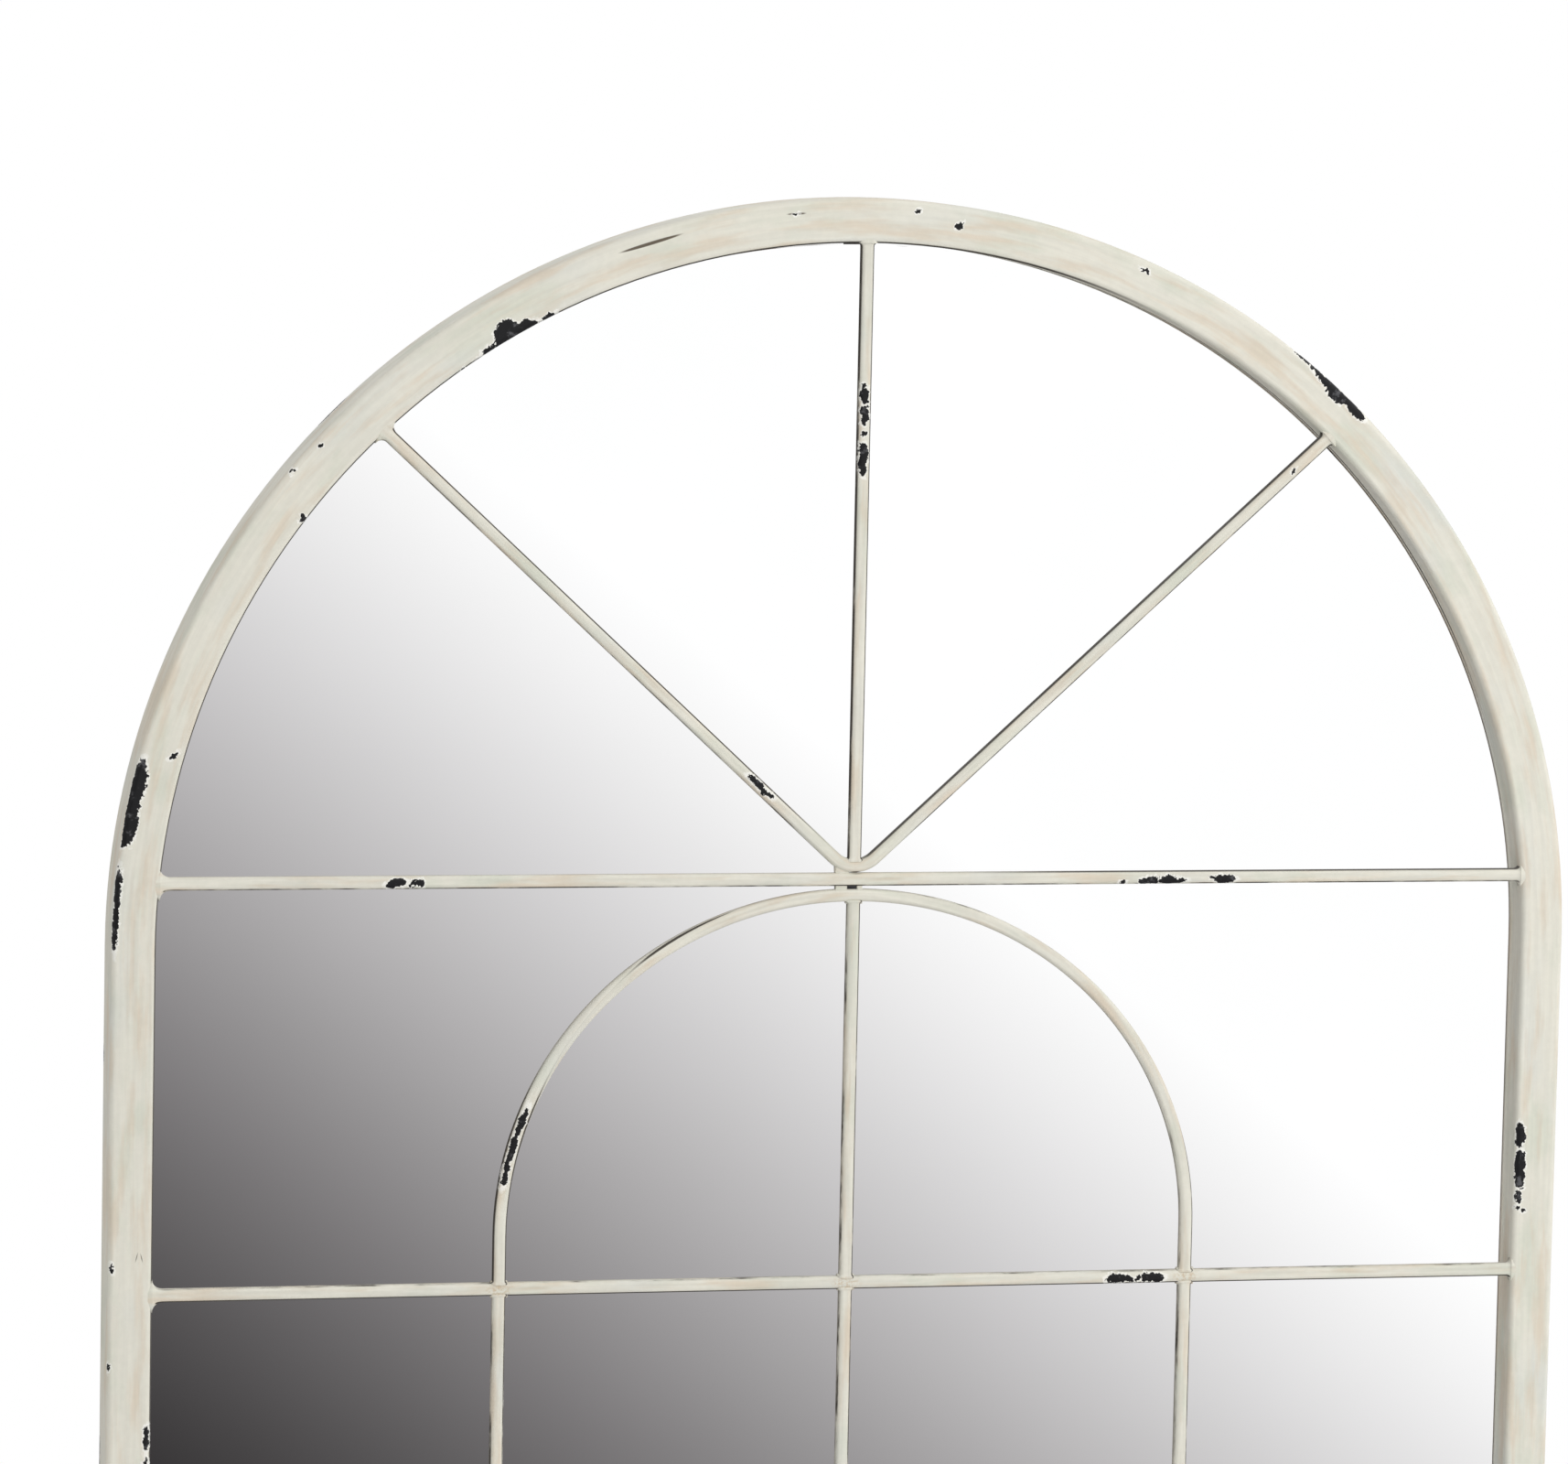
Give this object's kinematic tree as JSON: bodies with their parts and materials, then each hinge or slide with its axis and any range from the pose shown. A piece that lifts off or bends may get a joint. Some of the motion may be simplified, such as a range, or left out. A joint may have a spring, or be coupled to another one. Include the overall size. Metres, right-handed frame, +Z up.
{
  "type": "arched window mirror",
  "caption": "Arched wall mirror framed like a window: a bent tube frame with a distressed pale paint and a welded grille of thin bars over one mirror sheet.",
  "frame": {"origin": "the middle of the bottom rail's back face, in the plane of the wall that the mirror hangs on", "axes": "+Z up, +Y into the wall, +X to the right seen from the front; the mirror faces -Y"},
  "size_m": [0.85, 0.035, 1.3408],
  "materials": {
    "aged_paint": "distressed antique white paint, chipped to black",
    "mirror_sheet": "silvered float glass",
    "fibreboard": "bare fibreboard",
    "black_steel": "black undercoat",
    "zinc_screw": "zinc plated"
  },
  "bodies": {
    "root": {"outer_frame": "aged_paint", "bottom_rail": "aged_paint", "transom_bar": "aged_paint", "cross_bar_1": "aged_paint", "cross_bar_2": "aged_paint", "cross_bar_3": "aged_paint", "v_bar": "aged_paint", "upper_centre_bar": "aged_paint", "inner_arch_bar": "aged_paint", "crown_weld_1": "aged_paint", "crown_weld_2": "aged_paint", "v_weld": "aged_paint", "centre_upright_1": "aged_paint", "left_upright_2": "aged_paint", "centre_upright_2": "aged_paint", "right_upright_2": "aged_paint", "left_upright_3": "aged_paint", "centre_upright_3": "aged_paint", "right_upright_3": "aged_paint", "left_upright_4": "aged_paint", "centre_upright_4": "aged_paint", "right_upright_4": "aged_paint", "mirror_glass": "mirror_sheet", "backing_board": "fibreboard", "frame_lug_1": "black_steel", "frame_lug_2": "black_steel", "frame_lug_3": "black_steel", "frame_lug_4": "black_steel", "frame_lug_5": "black_steel", "frame_lug_6": "black_steel", "frame_lug_7": "black_steel", "frame_lug_8": "black_steel", "frame_lug_9": "black_steel", "lug_screw_1": "zinc_screw", "lug_screw_2": "zinc_screw", "lug_screw_3": "zinc_screw", "lug_screw_4": "zinc_screw", "lug_screw_5": "zinc_screw", "lug_screw_6": "zinc_screw", "lug_screw_7": "zinc_screw", "lug_screw_8": "zinc_screw", "lug_screw_9": "zinc_screw", "left_hanger_plate": "black_steel", "right_hanger_plate": "black_steel"}
  },
  "joints": []
}
